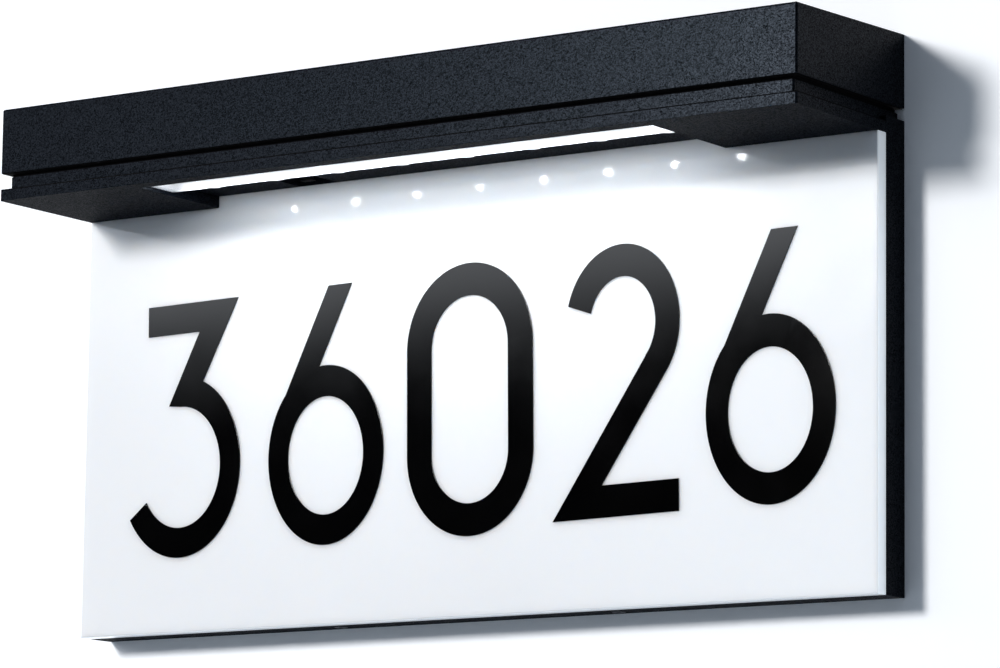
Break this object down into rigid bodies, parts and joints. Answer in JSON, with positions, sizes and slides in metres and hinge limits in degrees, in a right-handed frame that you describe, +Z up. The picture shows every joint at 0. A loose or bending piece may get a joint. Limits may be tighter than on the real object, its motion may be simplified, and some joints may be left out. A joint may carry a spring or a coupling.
{
  "type": "illuminated house number sign",
  "caption": "Wall sign with a black hood, a lit strip under it and a white face panel that carries plain black house numerals, on a hanging bracket.",
  "frame": {"origin": "on the wall plane, at the centre of the bracket's four wall screw holes", "axes": "+X to the viewer's right along the sign, +Y into the wall, +Z up; the face panel faces -Y"},
  "size_m": [0.4, 0.082, 0.2255],
  "materials": {
    "powder_coat": "fine textured black powder coat",
    "seal_rubber": "matte black rubber",
    "clear_lens": "clear moulded lens",
    "lamp": "cool white lamp",
    "lamp_board": "white solder mask",
    "component": "moulded component black",
    "connector_plastic": "natural nylon",
    "switch_plastic": "satin moulded plastic",
    "switch_metal": "pressed steel shell",
    "contact_metal": "nickel plated",
    "inner_plastic": "moulded plastic",
    "white_acrylic": "polished white acrylic",
    "foam_tape": "foam tape",
    "numeral_black": "glossy black sheet",
    "solar_glass": "clear cover",
    "solar_cell": "dark blue silicon",
    "solar_backing": "black laminate",
    "circuit_board": "green solder mask",
    "cell_wrap": "shrink wrap",
    "wire_red": "wire insulation",
    "wire_white": "wire insulation",
    "zinc_steel": "zinc plated sheet",
    "stainless": "stainless steel"
  },
  "bodies": {
    "sign": {"upper_housing": "powder_coat", "housing_seal": "seal_rubber", "light_tray": "powder_coat", "bottom_plate": "powder_coat", "back_plate": "powder_coat", "lens": "clear_lens", "lens_seal": "seal_rubber", "led_chips": "lamp", "led_board": "lamp_board", "led_resistors": "component", "led_plug": "connector_plastic", "switch_body": "switch_metal", "switch_pins": "contact_metal", "switch_mount": "inner_plastic", "switch_gasket": "seal_rubber", "face_panel": "white_acrylic", "panel_tape": "foam_tape", "numeral_three": "numeral_black", "numeral_six_left": "numeral_black", "numeral_zero": "numeral_black", "numeral_two": "numeral_black", "numeral_six_right": "numeral_black", "solar_cover": "solar_glass", "solar_cells": "solar_cell", "solar_board": "solar_backing", "solar_gasket": "seal_rubber", "control_board": "circuit_board", "control_parts": "component", "battery_cells": "cell_wrap", "battery_holder": "inner_plastic", "battery_contacts": "contact_metal", "solar_wires": "wire_red", "led_wires": "wire_white", "battery_wires": "wire_red", "switch_wires": "wire_white", "wall_bracket": "zinc_steel", "hood_screws": "stainless", "plate_screws": "stainless", "control_board_screws": "stainless", "holder_screws": "stainless", "switch_screws": "stainless", "locking_screws": "stainless"},
    "switch": {"switch_knob": "switch_plastic"}
  },
  "joints": [
    {"name": "switch_slide", "type": "slide", "parent": "sign", "child": "switch", "axis": [1, 0, 0], "range_m": [0, 0.003]}
  ]
}
